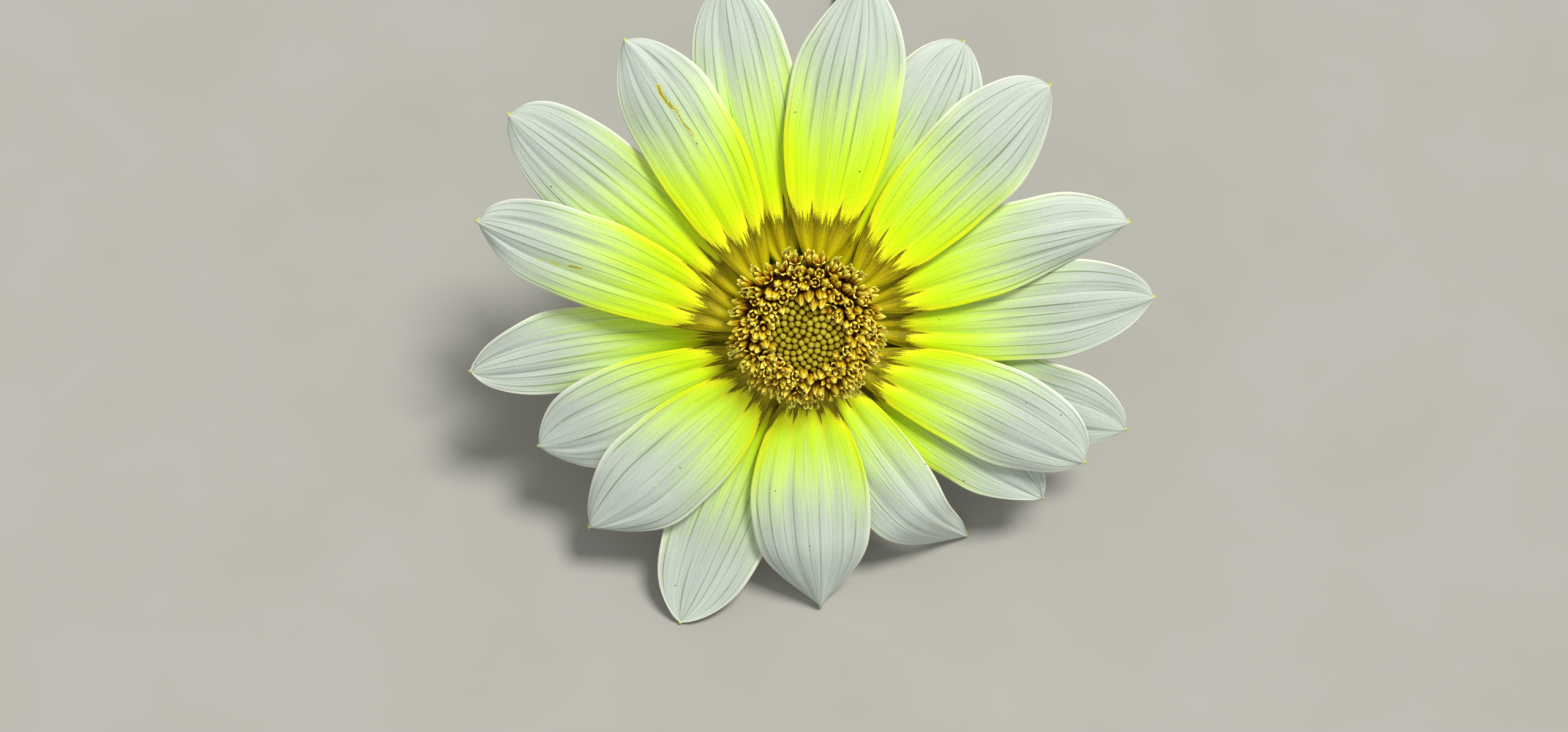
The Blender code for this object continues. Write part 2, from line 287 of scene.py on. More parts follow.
def settle(piece, material, slot, *nodes):
    """Finish a piece: its material, its body and the nodes that it stands for. slot is not used."""
    piece.data.shade_smooth()
    if not piece.data.materials:
        piece.data.materials.append(material)
    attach(piece, "root")
    if nodes:
        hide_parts(*nodes)


# Materials.

def add_node(tree, kind, inputs=None, **settings):
    """Add a shader node with its settings, link or set its inputs, and return its output."""
    node = tree.nodes.new(kind)
    for name, value in settings.items():
        setattr(node, name, value)
    for socket, value in (inputs or {}).items():
        if isinstance(value, bpy.types.NodeSocket):
            tree.links.new(value, node.inputs[socket])
        else:
            node.inputs[socket].default_value = value
    return next(output for output in node.outputs if output.enabled)


def new_material(name, roughness, ior):
    """Start a material and return it with its node tree and shader."""
    material = bpy.data.materials.new(name)
    material.use_nodes = True
    tree = material.node_tree
    shader = tree.nodes["Principled BSDF"]
    shader.inputs["Roughness"].default_value = roughness
    shader.inputs["IOR"].default_value = ior
    return material, tree, shader


def set_ramp(ramp, stops):
    """Set a colour ramp's stops from places and web colours."""
    elements = ramp.node.color_ramp.elements
    while len(elements) < len(stops):
        elements.new(0.5)
    for element, (place, code) in zip(elements, stops):
        element.position = place
        element.color = srgb(code)


def set_curve(curve_output, points):
    """Set a curve node's points."""
    mapping = curve_output.node.mapping
    curve = mapping.curves[0]
    while len(curve.points) < len(points):
        curve.points.new(0.5, 0.5)
    for target, point in zip(curve.points, points):
        target.location = point
    mapping.update()


def petal_sockets(tree):
    """Return the sockets that a petal's face is drawn by.

    The surface reads the petal's own map: X runs from root to tip and Y from margin to margin.
    """
    at = SimpleNamespace()
    places = add_node(tree, "ShaderNodeTexCoord").node.outputs
    at.object = places["Object"]
    at.seed = add_node(tree, "ShaderNodeAttribute", attribute_name="floret_seed").node.outputs["Fac"]
    at.heart = add_node(tree, "ShaderNodeAttribute", attribute_name="heart").node.outputs["Fac"]
    at.scar = add_node(tree, "ShaderNodeAttribute", attribute_name="scar").node.outputs["Fac"]
    split = add_node(tree, "ShaderNodeSeparateXYZ", {0: places["UV"]}).node.outputs
    at.along = split["X"]
    at.across = split["Y"]

    # Streaks that run lengthways: broad ones 1 mm wide and fine ones 0.3 mm wide on a 14 mm blade.
    at.strip = add_node(tree, "ShaderNodeCombineXYZ", {"X": at.along, "Y": at.across, "Z": at.seed})
    place = add_node(tree, "ShaderNodeMapping", {"Vector": at.strip, "Scale": (1.4, 14.0, 9.0)})
    at.broad = add_node(tree, "ShaderNodeTexNoise", {"Vector": place, "Scale": 1.0, "Detail": 1.0})
    place = add_node(tree, "ShaderNodeMapping", {"Vector": at.strip, "Scale": (3.4, 46.0, 9.0)})
    at.fine = add_node(tree, "ShaderNodeTexNoise", {"Vector": place, "Scale": 1.0, "Detail": 2.0})
    # Surface cells, drawn 0.2 mm wide so that they show.
    at.grain = add_node(tree, "ShaderNodeTexNoise", {"Vector": at.object, "Scale": 5000.0,
                                                     "Detail": 1.0})

    # Place across the blade, -1 to 1, and distance from the midline, 0 there and 1 at the margins.
    at.offset = add_node(tree, "ShaderNodeMath", {0: at.across, 1: 2.0, 2: -1.0},
                         operation="MULTIPLY_ADD")
    at.edge = add_node(tree, "ShaderNodeMath", {0: at.offset}, operation="ABSOLUTE")
    return at


def past_claw(tree, at):
    """Return how far a place lies along the petal, with CLAW_END at the claw's jagged end."""
    reach = add_node(tree, "ShaderNodeFloatCurve", {"Value": at.edge})
    set_curve(reach, CLAW_REACH)
    past = add_node(tree, "ShaderNodeMath", {0: at.along, 1: reach}, operation="SUBTRACT")
    for source, weight in ((at.heart, -0.3), (at.fine, -0.13), (at.broad, -0.07), (at.grain, -0.05)):
        past = add_node(tree, "ShaderNodeMath", {0: source, 1: weight, 2: past},
                        operation="MULTIPLY_ADD")
    # Half of the streaks' weights is added again, so that they move the end both ways.
    return add_node(tree, "ShaderNodeMath", {0: past, 1: 0.125 + CLAW_END}, operation="ADD")


def claw_colour(tree, at, past):
    """Colour the claw: its own gold and olive, lighter on its ridges as painted highlight and darker in its
    grooves as painted shade, and darker towards its end.
    """
    # Painted light: lighter on the ridges and darker in the grooves of the claw's bands. The streaks and
    # cells add the claw's own uneven tone.
    groove = add_node(tree, "ShaderNodeMath", {0: at.offset, 1: 3 * math.pi}, operation="MULTIPLY")
    ridge_light_and_streaks = add_node(tree, "ShaderNodeMath", {0: groove}, operation="COSINE")
    for source, weight in ((at.fine, 0.45), (at.grain, 0.9)):
        ridge_light_and_streaks = add_node(tree, "ShaderNodeMath", {0: source, 1: weight, 2: ridge_light_and_streaks},
                         operation="MULTIPLY_ADD")
    ridge_light_and_streaks = add_node(tree, "ShaderNodeMapRange", {"Value": ridge_light_and_streaks, "From Min": -0.85, "From Max": 2.0})
    gold = add_node(tree, "ShaderNodeValToRGB", {0: ridge_light_and_streaks})
    set_ramp(gold, [(0.0, "#948b00"), (0.4, "#bcb000"), (0.75, "#d2c600"), (1.0, "#ddd110")])
    pigment = add_node(tree, "ShaderNodeValToRGB", {0: past})
    set_ramp(pigment, [(0.14, "#ffffff"), (0.205, "#dcd48c"), (0.238, "#a09e40"), (0.26, "#6e7c18")])
    return add_node(tree, "ShaderNodeMix", {"Factor": 1.0, "A": gold, "B": pigment}, data_type="RGBA",
                    blend_type="MULTIPLY")


def blade_colour(tree, at, past):
    """Colour the blade: lemon at the claw, then sharp yellow-green, paling to greenish white.

    It pales in streaks, and the sharp colours run further out along the margins. Return how far it
    has paled, too.
    """
    swell = add_node(tree, "ShaderNodeMath", {0: at.edge, 1: 3.0}, operation="POWER")
    pale = add_node(tree, "ShaderNodeMath", {0: at.along, 1: at.heart}, operation="SUBTRACT")
    for source, weight in ((swell, -0.12), (at.broad, 0.22), (at.fine, 0.14)):
        pale = add_node(tree, "ShaderNodeMath", {0: source, 1: weight, 2: pale},
                        operation="MULTIPLY_ADD")
    blade = add_node(tree, "ShaderNodeValToRGB", {0: pale})
    set_ramp(blade, [(0.34, "#e6ff06"), (0.47, "#daff14"), (0.59, "#d6fd46"), (0.71, "#d3f38c"),
                     (0.83, "#cbdfb6"), (0.93, "#c7d5c4"), (1.0, "#c9d4cb")])
    lemon = add_node(tree, "ShaderNodeMapRange", {"Value": past, "From Min": CLAW_END, "From Max": 0.34,
                                                  "To Min": 0.9, "To Max": 0.0})
    blade = add_node(tree, "ShaderNodeMix", {"Factor": lemon, "A": blade, "B": srgb("#fff820")},
                     data_type="RGBA")
    hem = add_node(tree, "ShaderNodeMapRange", {"Value": at.edge, "From Min": 0.78, "From Max": 1.0,
                                                "To Min": 0.0, "To Max": 1.1})
    hem = add_node(tree, "ShaderNodeMath", {0: hem, 1: at.broad}, operation="MULTIPLY")
    hem_zone = add_node(tree, "ShaderNodeMapRange", {"Value": pale, "From Min": 0.5, "From Max": 0.8,
                                                     "To Min": 1.0, "To Max": 0.0})
    hem = add_node(tree, "ShaderNodeMath", {0: hem, 1: hem_zone}, operation="MULTIPLY")
    blade = add_node(tree, "ShaderNodeMix", {"Factor": hem, "A": blade, "B": srgb("#f6f41c")},
                     data_type="RGBA")
    return blade, pale


def petal_veins(tree, at):
    """Return where veins run: 0.2 mm wide, about 1.4 mm apart, broken, and meeting at the tip."""
    wander = add_node(tree, "ShaderNodeMath", {0: at.broad, 1: 0.07, 2: at.across},
                      operation="MULTIPLY_ADD")
    turns = add_node(tree, "ShaderNodeMath", {0: wander, 1: 2 * math.pi * PETAL_VEINS},
                     operation="MULTIPLY")
    wave = add_node(tree, "ShaderNodeMath", {0: turns}, operation="COSINE")
    vein = add_node(tree, "ShaderNodeMapRange", {"Value": wave, "From Min": 0.84, "From Max": 1.0})
    zone = add_node(tree, "ShaderNodeMapRange", {"Value": at.along, "From Min": 0.2, "From Max": 0.5,
                                                 "To Min": 0.1, "To Max": 0.9})
    patchy = add_node(tree, "ShaderNodeMapRange", {"Value": at.fine, "From Min": 0.35, "From Max": 0.62,
                                                   "To Min": 0.1, "To Max": 1.0})
    for part in (zone, patchy):
        vein = add_node(tree, "ShaderNodeMath", {0: vein, 1: part}, operation="MULTIPLY")
    return vein


def draw_margins(tree, at, blade, pale):
    """Draw the blade's fine stripes, its thin pale margins past the heart, partly their own paler tissue
    and partly a painted halo of light, and its yellow point.
    """
    stripes = add_node(tree, "ShaderNodeMapRange", {"Value": at.fine, "From Min": 0.3, "From Max": 0.7,
                                                    "To Min": 1.07, "To Max": 0.93})
    sparkle = add_node(tree, "ShaderNodeMapRange", {"Value": at.grain, "From Min": 0.3, "From Max": 0.7,
                                                    "To Min": 0.95, "To Max": 1.05})
    stripes = add_node(tree, "ShaderNodeMath", {0: stripes, 1: sparkle}, operation="MULTIPLY")
    blade = add_node(tree, "ShaderNodeVectorMath", {0: blade, "Scale": stripes}, operation="SCALE")
    # The pale margin is partly the tissue's own paler edge and partly a painted halo of light along the
    # outline.
    rim = add_node(tree, "ShaderNodeMapRange", {"Value": at.edge, "From Min": 0.91, "From Max": 0.98,
                                                "To Min": 0.0, "To Max": 0.7})
    rim_zone = add_node(tree, "ShaderNodeMapRange", {"Value": pale, "From Min": 0.6, "From Max": 0.8})
    rim = add_node(tree, "ShaderNodeMath", {0: rim, 1: rim_zone}, operation="MULTIPLY")
    blade = add_node(tree, "ShaderNodeMix", {"Factor": rim, "A": blade, "B": srgb("#f4f6e4")},
                     data_type="RGBA")
    point = add_node(tree, "ShaderNodeMapRange", {"Value": at.along, "From Min": 0.985,
                                                  "From Max": 0.995, "To Min": 0.0, "To Max": 0.9})
    return add_node(tree, "ShaderNodeMix", {"Factor": point, "A": blade, "B": srgb("#c6cc4a")},
                    data_type="RGBA")


def draw_marks(tree, at, blade):
    """Draw dry scars, a few dark specks of dust 0.2 to 0.3 mm wide, and lemon smears of pollen."""
    scar = at.scar
    for part in (at.fine, at.grain):
        scar = add_node(tree, "ShaderNodeMath", {0: scar, 1: part}, operation="MULTIPLY")
    dried = add_node(tree, "ShaderNodeValToRGB", {0: scar})
    set_ramp(dried, [(0.16, "#dfe27a"), (0.28, "#a09a34")])
    scar = add_node(tree, "ShaderNodeMapRange", {"Value": scar, "From Min": 0.09, "From Max": 0.16})
    dust = add_node(tree, "ShaderNodeTexVoronoi", {"Vector": at.object, "Scale": 290.0})
    dust = add_node(tree, "ShaderNodeMapRange", {"Value": dust, "From Min": 0.025, "From Max": 0.045,
                                                 "To Min": 0.8, "To Max": 0.0})
    pollen = add_node(tree, "ShaderNodeTexVoronoi", {"Vector": at.strip, "Scale": 9.0})
    pollen = add_node(tree, "ShaderNodeMapRange", {"Value": pollen, "From Min": 0.04, "From Max": 0.07,
                                                   "To Min": 0.75, "To Max": 0.0})
    for share, colour in ((scar, dried), (dust, srgb("#3c3a20")), (pollen, srgb("#f2f05a"))):
        blade = add_node(tree, "ShaderNodeMix", {"Factor": share, "A": blade, "B": colour},
                         data_type="RGBA")
    return blade


def petal_face_material():
    """Petal tissue: satiny cells over thin pigment, greenish white outside, yellow-green at the heart."""
    material, tree, shader = new_material("petal_tissue_face", 0.5, 1.4)
    shader.inputs["Specular IOR Level"].default_value = 0.25
    at = petal_sockets(tree)
    past = past_claw(tree, at)
    claw = claw_colour(tree, at, past)
    blade, pale = blade_colour(tree, at, past)
    vein = petal_veins(tree, at)
    blade = add_node(tree, "ShaderNodeMix", {"Factor": vein, "A": blade, "B": srgb("#b0bc98")},
                     data_type="RGBA", blend_type="MULTIPLY")
    blade = draw_margins(tree, at, blade, pale)
    blade = draw_marks(tree, at, blade)
    is_blade = add_node(tree, "ShaderNodeMapRange", {"Value": past, "From Min": CLAW_END - 0.010,
                                                     "From Max": CLAW_END + 0.018})
    colour = add_node(tree, "ShaderNodeMix", {"Factor": is_blade, "A": claw, "B": blade},
                      data_type="RGBA")
    tree.links.new(colour, shader.inputs["Base Color"])
    relief = add_node(tree, "ShaderNodeMath", {0: at.grain, 1: 0.4, 2: at.fine},
                      operation="MULTIPLY_ADD")
    relief = add_node(tree, "ShaderNodeMath", {0: vein, 1: -0.5, 2: relief}, operation="MULTIPLY_ADD")
    bump = add_node(tree, "ShaderNodeBump", {"Height": relief, "Strength": 0.3, "Distance": 0.00015})
    tree.links.new(bump, shader.inputs["Normal"])
    return material


def petal_back_material():
    """Petal tissue, reverse: duller, with the broad olive-grey stripe that gazanias carry."""
    material, tree, shader = new_material("petal_tissue_reverse", 0.6, 1.4)
    uv = add_node(tree, "ShaderNodeTexCoord").node.outputs["UV"]
    split = add_node(tree, "ShaderNodeSeparateXYZ", {0: uv}).node.outputs
    lines_place = add_node(tree, "ShaderNodeMapping", {"Vector": uv, "Scale": (3.0, 34.0, 1.0)})
    lines = add_node(tree, "ShaderNodeTexNoise", {"Vector": lines_place, "Scale": 1.0, "Detail": 2.0})
    offset = add_node(tree, "ShaderNodeMath", {0: split["Y"], 1: 0.5}, operation="SUBTRACT")
    offset = add_node(tree, "ShaderNodeMath", {0: offset}, operation="ABSOLUTE")
    ragged = add_node(tree, "ShaderNodeMath", {0: lines, 1: 0.22, 2: offset}, operation="MULTIPLY_ADD")
    stripe = add_node(tree, "ShaderNodeValToRGB", {0: ragged})
    set_ramp(stripe, [(0.14, "#7f8560"), (0.27, "#a8ab88"), (0.40, "#d3d2c6"), (0.6, "#dcdad4")])
    heart = add_node(tree, "ShaderNodeValToRGB", {0: split["X"]})
    set_ramp(heart, [(0.0, "#8f9a3a"), (0.22, "#c6cf70"), (0.5, "#ffffff")])
    tint = add_node(tree, "ShaderNodeMix", {"Factor": 1.0, "A": stripe, "B": heart},
                    data_type="RGBA", blend_type="MULTIPLY")
    tree.links.new(tint, shader.inputs["Base Color"])
    bump = add_node(tree, "ShaderNodeBump", {"Height": lines, "Strength": 0.4, "Distance": 0.0002})
    tree.links.new(bump, shader.inputs["Normal"])
    return material


# Colours of the disc's tissues, from foot to tips: brown and dull below, golden and pale above. In the bud
# and corolla tones the dark foot is partly painted shade and the pale tips partly painted highlight, over
# the tissues' own olive and gold.
BUD_TONES_WITH_PAINTED_LIGHT = [(0.0, "#4a3402"), (0.45, "#6c5802"), (0.65, "#8c7b04"), (0.85, "#a8970e"), (1.0, "#c6b83e")]
COROLLA_TONES_WITH_PAINTED_LIGHT = [(0.0, "#4c1e02"), (0.35, "#8c5c04"), (0.6, "#b4920a"), (0.8, "#dcc224"), (0.95, "#fcee68")]
ANTHER_TONES = [(0.0, "#5a2c04"), (0.45, "#a0540a"), (0.7, "#c08a18"), (1.0, "#e0c044")]
STYLE_TONES = [(0.0, "#9a8e1c"), (1.0, "#cfcc54")]
BED_TONES = [(0.0, "#5c3408"), (1.0, "#5c3408")]
FEET_TONES = [(0.0, "#4a5c2c"), (0.4, "#5e6a2a"), (0.8, "#7c781c"), (1.0, "#7c620c")]


def floret_material(name, roughness, stops, patch_mm, seams=0.0):
    """Soft tissue of the disc: its colour runs from foot to tips, which for the buds and corollas includes
    painted shade at the foot and painted highlight at the tips, and each copy has its own tone.

    patch_mm is the size of its uneven patches, which give it a mealy look. seams is how far the painted
    shade in its five grooves takes them back to the colours of the foot.
    """
    material, tree, shader = new_material(name, roughness, 1.4)
    shader.inputs["Specular IOR Level"].default_value = 0.3
    places = add_node(tree, "ShaderNodeTexCoord").node.outputs
    split = add_node(tree, "ShaderNodeSeparateXYZ", {0: places["UV"]}).node.outputs
    tone = add_node(tree, "ShaderNodeAttribute", attribute_name="tone").node.outputs["Fac"]
    patches = add_node(tree, "ShaderNodeTexNoise", {"Vector": places["Object"],
                                                    "Scale": 1000.0 / patch_mm, "Detail": 2.0})
    # The tone and the patches shift the colours both ways: half of each weight is taken off again.
    shift = add_node(tree, "ShaderNodeMath", {0: tone, 1: 0.22, 2: -0.11 - 0.15},
                     operation="MULTIPLY_ADD")
    shift = add_node(tree, "ShaderNodeMath", {0: patches, 1: 0.3, 2: shift}, operation="MULTIPLY_ADD")
    shifted = add_node(tree, "ShaderNodeMath", {0: split["Y"], 1: shift}, operation="ADD")
    # Painted shade: the five grooves between a floret's ribs, and between its lobes, are darker.
    turn = add_node(tree, "ShaderNodeMath", {0: split["X"], 1: 10 * math.pi, 2: math.pi},
                    operation="MULTIPLY_ADD")
    seam = add_node(tree, "ShaderNodeMath", {0: turn}, operation="COSINE")
    seam = add_node(tree, "ShaderNodeMapRange", {"Value": seam, "From Min": 0.5, "From Max": 1.0,
                                                 "To Min": 0.0, "To Max": seams})
    shifted = add_node(tree, "ShaderNodeMath", {0: shifted, 1: seam}, operation="SUBTRACT")
    colours = add_node(tree, "ShaderNodeValToRGB", {0: shifted})
    set_ramp(colours, stops)
    tree.links.new(colours, shader.inputs["Base Color"])
    bump = add_node(tree, "ShaderNodeBump", {"Height": patches, "Strength": 0.4, "Distance": 0.0001})
    tree.links.new(bump, shader.inputs["Normal"])
    return material


def rind_material(name, light, dark, grain_mm):
    """Living rind: slightly waxy, with soft patches of its two tones and a fine grain."""
    material, tree, shader = new_material(name, 0.45, 1.42)
    place = add_node(tree, "ShaderNodeTexCoord").node.outputs["Object"]
    patches = add_node(tree, "ShaderNodeTexNoise", {"Vector": place, "Scale": 220.0, "Detail": 4.0})
    grain = add_node(tree, "ShaderNodeTexNoise", {"Vector": place, "Scale": 1000.0 / grain_mm,
                                                  "Detail": 2.0})
    blend = add_node(tree, "ShaderNodeMath", {0: grain, 1: 0.4, 2: patches}, operation="MULTIPLY_ADD")
    colours = add_node(tree, "ShaderNodeValToRGB", {0: blend})
    set_ramp(colours, [(0.45, dark), (0.85, light)])
    tree.links.new(colours, shader.inputs["Base Color"])
    bump = add_node(tree, "ShaderNodeBump", {"Height": grain, "Strength": 0.3, "Distance": 0.00015})
    tree.links.new(bump, shader.inputs["Normal"])
    return material


# Petals.

def petal_half_width(petal, along, across):
    """Half the blade's width: a flaring claw, widest past the middle, and a small point."""
    blunt = petal.blunt + math.copysign(1, across) * petal.skew
    widest_at = PETAL_WIDEST_AT + 0.3 * min(blunt, 0)
    if along < widest_at:
        swell = math.sin(math.pi / 2 * max(along, 0) / widest_at) ** PETAL_CLAW_FLARE
        share = PETAL_CLAW_SHARE + (1 - PETAL_CLAW_SHARE) * swell
    else:
        onward = min((along - widest_at) / (PETAL_POINT_AT - widest_at), 1.0)
        share = (1 - onward ** mix(2.2, 3.0, blunt)) ** mix(0.85, 0.55, blunt)
    point = PETAL_TIP_HALF_WIDTH * (1 - 0.75 * smooth(along, 0.975, 1.0))
    return point + (petal.half - PETAL_TIP_HALF_WIDTH) * share


def petal_relief(petal, seed, along, across):
    """Height of the blade's fine forms in millimetres: bands, grooves, veins, margins and tip."""
    body = smooth(along, 0.05, 0.3) * (1 - smooth(along, 0.86, 1.0))
    off_groove = (abs(across) - GROOVE_PLACE) / GROOVE_WIDTH
    groove = -GROOVE_DEPTH * math.exp(-off_groove ** 2) * body
    vein_wave = 0.5 + 0.5 * math.cos(math.pi * PETAL_VEINS * (across + 1))
    veins = -VEIN_DEPTH * vein_wave ** 3 * body
    bands = BAND_HEIGHT * math.cos(3 * math.pi * across) * (1 - smooth(along, 0.10, 0.40))
    swing = (math.sin(2 * math.pi * (1.7 * along + seed))
             + 0.5 * math.sin(2 * math.pi * (4.1 * along + 3 * seed)))
    margin = petal.wave * swing * abs(across) ** 3 * smooth(along, 0.4, 0.7)
    fold = petal.fold * across ** 2 * smooth(along, 0.5, 1.0)
    place = Vector((along * 3, across * 2.6, seed * 40))
    lumps = LUMP_HEIGHT * noise.noise(place) * smooth(along, 0.2, 0.5)
    curl = -petal.curl * smooth(along, 0.88, 1.04) ** 1.5 - 0.25 * smooth(along, 0.97, 1.0)
    return groove + veins + bands + margin + fold + lumps + curl


def petal_point(petal, seed, along, across):
    """Return a point of the blade's middle surface: along is 0 to 1, across is -1 to 1."""
    root = polar(PETAL_ROOT_RADIUS, math.radians(petal.root))
    tip = polar(petal.reach, math.radians(petal.tip))
    direction = (tip - root).normalized()
    side = Vector((-direction.y, direction.x, 0.0))
    ripple = 0.10 * math.sin(2 * math.pi * (3 * along + 5 * seed)) * smooth(along, 0.3, 0.6)
    width = petal_half_width(petal, along, across) + ripple * (1 - smooth(along, 0.9, 1.0))
    swing = petal.bow * math.sin(math.pi * along) + across * width
    point = root.lerp(tip, along) + side * swing
    sag = PETAL_SAG * (point.length - PETAL_ROOT_RADIUS) ** 2
    arch = petal.arch * smooth(along, 0.25, 0.75) * (1 - across * across)
    hang = petal.droop * smooth(along, 0.65, 1.15) / smooth(1.0, 0.65, 1.15)
    level = PETAL_ROOT_LEVEL - PETAL_ROW_DROP * petal.row - sag + arch - hang
    point.z = level + petal_relief(petal, seed, along, across)
    return point * MM


def scar_depth(number, along, across):
    """Return how scarred this place of a petal is, 0 to 1."""
    depth = 0.0
    for scarred, start, end, middle, width in SCARS:
        if scarred == number:
            lengthwise = (smooth(along, start - 0.01, start + 0.01)
                          * (1 - smooth(along, end - 0.01, end + 0.01)))
            crooked = middle + 0.025 * math.sin(60 * along)
            depth = max(depth, lengthwise * math.exp(-((across - crooked) / width) ** 2))
    return depth


def make_petal(number, petal, face, back):
    """Model one petal: a flat grid bent to the blade's form, given its thickness."""
    deselect()
    bpy.ops.mesh.primitive_grid_add(x_subdivisions=PETAL_STEPS[0], y_subdivisions=PETAL_STEPS[1], size=2)
    piece = name_piece(f"petal_{number:02d}")
    seed = 0.31 * number % 1.0
    scars = []
    for vert in piece.data.vertices:
        share = (vert.co.x + 1) / 2
        along = share * (1 + PETAL_CROWDING * (1 - share))
        scars.append(scar_depth(number, along, vert.co.y))
        vert.co = BLOOM @ petal_point(petal, seed, along, vert.co.y)
        vert.co.z = max(vert.co.z, PETAL_THICKNESS / 2 * MM)
    for loop in piece.data.uv_layers.active.data:
        loop.uv.x = loop.uv.x * (1 + PETAL_CROWDING * (1 - loop.uv.x))
    fill_attribute(piece, "floret_seed", [seed] * len(piece.data.vertices))
    fill_attribute(piece, "heart", [petal.heart] * len(piece.data.vertices))
    fill_attribute(piece, "scar", scars)
    piece.data.materials.append(face)
    piece.data.materials.append(back)
    add_thickness(piece, PETAL_THICKNESS, back_slot=1)
    settle(piece, face, "petal", f"ray_floret_{number:02d}")


# Disc.

def dome_level(radius):
    """Height of the disc's dome at this radius."""
    share = min(radius / BUD_ZONE_RADIUS, 1.0)
    return DOME_TOP - (DOME_TOP - DOME_SHOULDER) * share ** 2.6


def make_disc_bed(material):
    """Model the bed that carries the buds and florets, seen only in the gaps between them."""
    profile = [(7.6, 0.5), (8.2, 1.0), (8.2, 2.0), (7.4, 2.7), (5.7, 3.0)]
    profile += [(radius, dome_level(radius) - 0.15) for radius in (5.0, 4.2, 3.2, 2.0, 0.8, 0.05)]
    bed = turn_profile("disc_bed", profile, 48)
    bed.data.transform(BLOOM)
    settle(bed, material, "disc_bud")


def make_floret_feet(material):
    """Model the ring of ribbed feet by which the petals stand on the receptacle's edge."""
    feet = turn_profile("floret_feet", FEET_PROFILE, 8 * FEET_COUNT)
    # Painted light: each rib's crest is given a lighter tone and the groove beside it a darker one.
    rib_light_and_shade = []
    for vert in feet.data.vertices:
        azimuth = math.atan2(vert.co.y, vert.co.x)
        uneven = 0.9 * math.sin(3 * azimuth) + 0.6 * math.sin(7 * azimuth)
        bulge = abs(math.cos(FEET_COUNT / 2 * azimuth + uneven))
        rib = 1 + FEET_RIB_DEPTH * (bulge - 0.4)
        vert.co.x *= rib
        vert.co.y *= rib
        rib_light_and_shade.append(2.2 * bulge - 1.4)
    map_length(feet, FEET_PROFILE[0][1], FEET_PROFILE[-1][1])
    fill_attribute(feet, "tone", rib_light_and_shade)
    feet.data.transform(BLOOM)
    settle(feet, material, "petal")


def bud_place(index):
    """Return the place of a closed bud in the sunflower spiral on the dome."""
    share = math.sqrt((index + 0.5) / BUD_COUNT)
    radius = share * (BUD_ZONE_RADIUS - 0.05)
    foot = polar(radius, index * GOLDEN_ANGLE, dome_level(radius))
    lean = math.radians(BUD_EDGE_LEAN) * share ** 2
    size = random.uniform(0.95, 1.05)
    return (BLOOM @ Matrix.Translation(foot * MM)
            @ Matrix.Rotation(lean, 4, Vector((-foot.y, foot.x, 0.0)))
            @ Matrix.Rotation(random.random() * 6, 4, "Z")
            @ Matrix.Scale(size, 4))


def make_closed_buds(material):
    """Model a blunt closed bud with five faint seams and set it out over the dome."""
    deselect()
    bpy.ops.mesh.primitive_uv_sphere_add(segments=15, ring_count=9, radius=BUD_RADIUS * MM)
    bud = name_piece("closed_bud")
    for vert in bud.data.vertices:
        azimuth = math.atan2(vert.co.y, vert.co.x)
        top = max(vert.co.z / (BUD_RADIUS * MM), 0)
        seam = 1 - 0.06 * top * (0.5 + 0.5 * math.cos(5 * azimuth)) ** 4
        vert.co.x *= seam
        vert.co.y *= seam
        vert.co.z *= 1.3 - 0.25 * top ** 2
    map_length(bud, -BUD_RADIUS, 1.1 * BUD_RADIUS)
    buds = join_copies(bud, [bud_place(index) for index in range(BUD_COUNT)], "closed_buds")
    settle(buds, material, "disc_bud", "disc_buds")


def floret_place(index):
    """Return the place and the age, 0 to 1, of a floret of the ring."""
    age = (index + 0.5) / FLORET_COUNT
    inner, outer = FLORET_FOOT_RADII
    radius = math.sqrt(mix(inner ** 2, outer ** 2, age)) + random.uniform(-0.1, 0.1)
    azimuth = (index + BUD_COUNT) * GOLDEN_ANGLE + random.uniform(-0.04, 0.04)
    lean = mix(*FLORET_LEANS, age ** 1.15) + random.uniform(-16, 14)
    level = mix(*FLORET_FOOT_LEVELS, age)
    size = mix(1.0, 0.88, age) * random.uniform(0.88, 1.12)
    place = (BLOOM @ Matrix.Translation(polar(radius, azimuth, level) * MM)
             @ Matrix.Rotation(azimuth + random.uniform(-0.3, 0.3), 4, "Z")
             @ Matrix.Rotation(math.radians(lean), 4, "Y")
             @ Matrix.Rotation(random.random() * 6, 4, "Z")
             @ Matrix.Scale(size, 4))
    return place, age


def model_pointed_bud():
    """Model a bud about to open: five ribs that rise to a point."""
    bud = turn_profile("pointed_bud", [(0.28, 0.0), (0.40, 0.6), (0.54, 1.2), (0.62, 1.7), (0.58, 2.1),
                                       (0.46, 2.5), (0.30, 2.85), (0.14, 3.15), (0.03, 3.35)], 30)
    for vert in bud.data.vertices:
        azimuth = math.atan2(vert.co.y, vert.co.x)
        rib = 1.05 - 0.2 * (0.5 + 0.5 * math.cos(5 * azimuth)) ** 2
        vert.co.x *= rib
        vert.co.y *= rib
    map_length(bud, 0.4, 3.3)
    return bud


# Tubes of the florets as (radius, level) rings, and their lobes as steps of
# (how far out, how far up, how much narrower).
TUBE = [(0.28, 0.0), (0.38, 0.9), (0.50, 1.5), (0.58, 1.9)]
CUPPED_LOBE = [(0.08, 0.42, 1.12), (0.01, 0.48, 0.80), (0.0, 0.48, 0.36)]
SPREAD_LOBE = [(0.18, 0.36, 1.14), (0.24, 0.34, 0.80), (0.28, 0.24, 0.36)]


